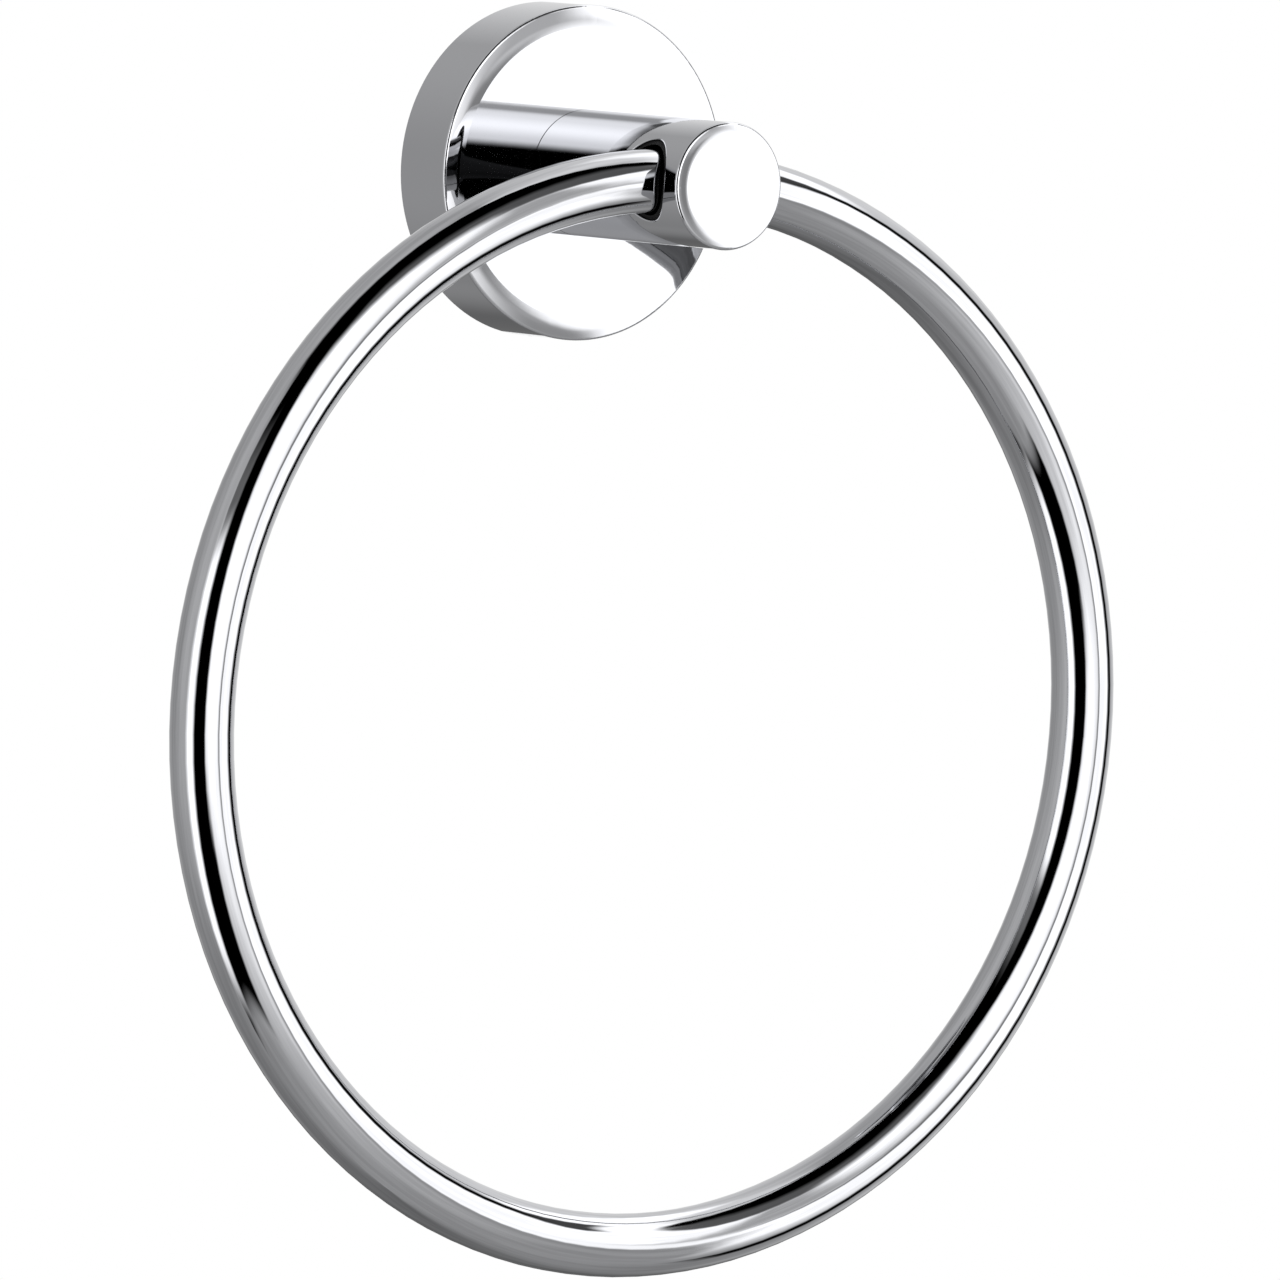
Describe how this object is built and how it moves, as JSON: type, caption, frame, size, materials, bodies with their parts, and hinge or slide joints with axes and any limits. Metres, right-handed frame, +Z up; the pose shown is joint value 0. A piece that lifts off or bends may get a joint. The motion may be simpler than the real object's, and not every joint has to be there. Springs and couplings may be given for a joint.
{
  "type": "towel ring",
  "caption": "Wall-mounted chromed towel ring: round flange, straight post, and a full-circle tube that swings in a lined cross-hole.",
  "frame": {"origin": "centre of the flange's back, on the wall", "axes": "+Y points into the wall, so the post stands out along -Y; +Z is up, with the ring hanging down; +X is to the right, seen from the front"},
  "size_m": [0.177, 0.0525, 0.1982],
  "materials": {
    "chrome": "polished",
    "black_plastic": "matt",
    "zinc": "as cast",
    "plated_steel": "zinc plated"
  },
  "bodies": {
    "wall_fitting": {"flange_cover": "chrome", "post": "chrome", "ring_bush": "black_plastic", "wall_plate": "zinc", "post_screw": "plated_steel", "post_washer": "plated_steel", "grub_screw": "plated_steel"},
    "ring": {"ring": "chrome"}
  },
  "joints": [
    {"name": "ring_swing", "type": "hinge", "parent": "wall_fitting", "child": "ring", "pos_m": [0, -0.04273, 0], "axis": [-1, 0, 0], "range_deg": [-13, 193]}
  ]
}
